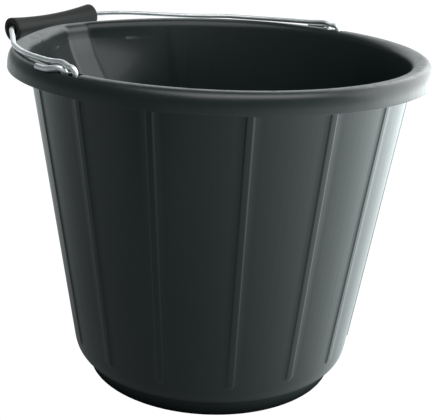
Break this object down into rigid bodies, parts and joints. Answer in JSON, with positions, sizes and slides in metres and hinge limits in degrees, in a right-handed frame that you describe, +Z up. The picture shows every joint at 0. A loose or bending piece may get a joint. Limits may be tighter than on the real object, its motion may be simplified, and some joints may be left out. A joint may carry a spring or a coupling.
{
  "type": "builder's bucket",
  "caption": "Moulded plastic pail with a pouring lip, a wire bail pivoted at the rim and a waisted tubular grip; carries and pours mortar or water.",
  "frame": {"origin": "middle of the base, at ground level; the base panel itself is set up 2 mm inside the foot ring", "axes": "+Z up out of the bucket's mouth, +Y towards the pouring lip and the folded bail, X through the two ears of the bail"},
  "size_m": [0.33, 0.3784, 0.2747],
  "materials": {
    "pail_plastic": "satin charcoal-black moulded polyethylene",
    "galvanised_wire": "bright galvanised drawn wire",
    "grip_plastic": "satin black moulded polypropylene"
  },
  "bodies": {
    "pail": {"bucket_shell": "pail_plastic"},
    "bail": {"bail_wire": "galvanised_wire"},
    "grip": {"bail_grip": "grip_plastic"}
  },
  "joints": [
    {"name": "bail_swing", "type": "hinge", "parent": "pail", "child": "bail", "pos_m": [0, 0, 0.2661], "axis": [1, 0, 0], "range_deg": [0, 125]},
    {"name": "grip_spin", "type": "hinge", "parent": "bail", "child": "grip", "pos_m": [0, 0.203, 0.2617], "axis": [0.9983, 0, 0.0579], "continuous": true}
  ]
}
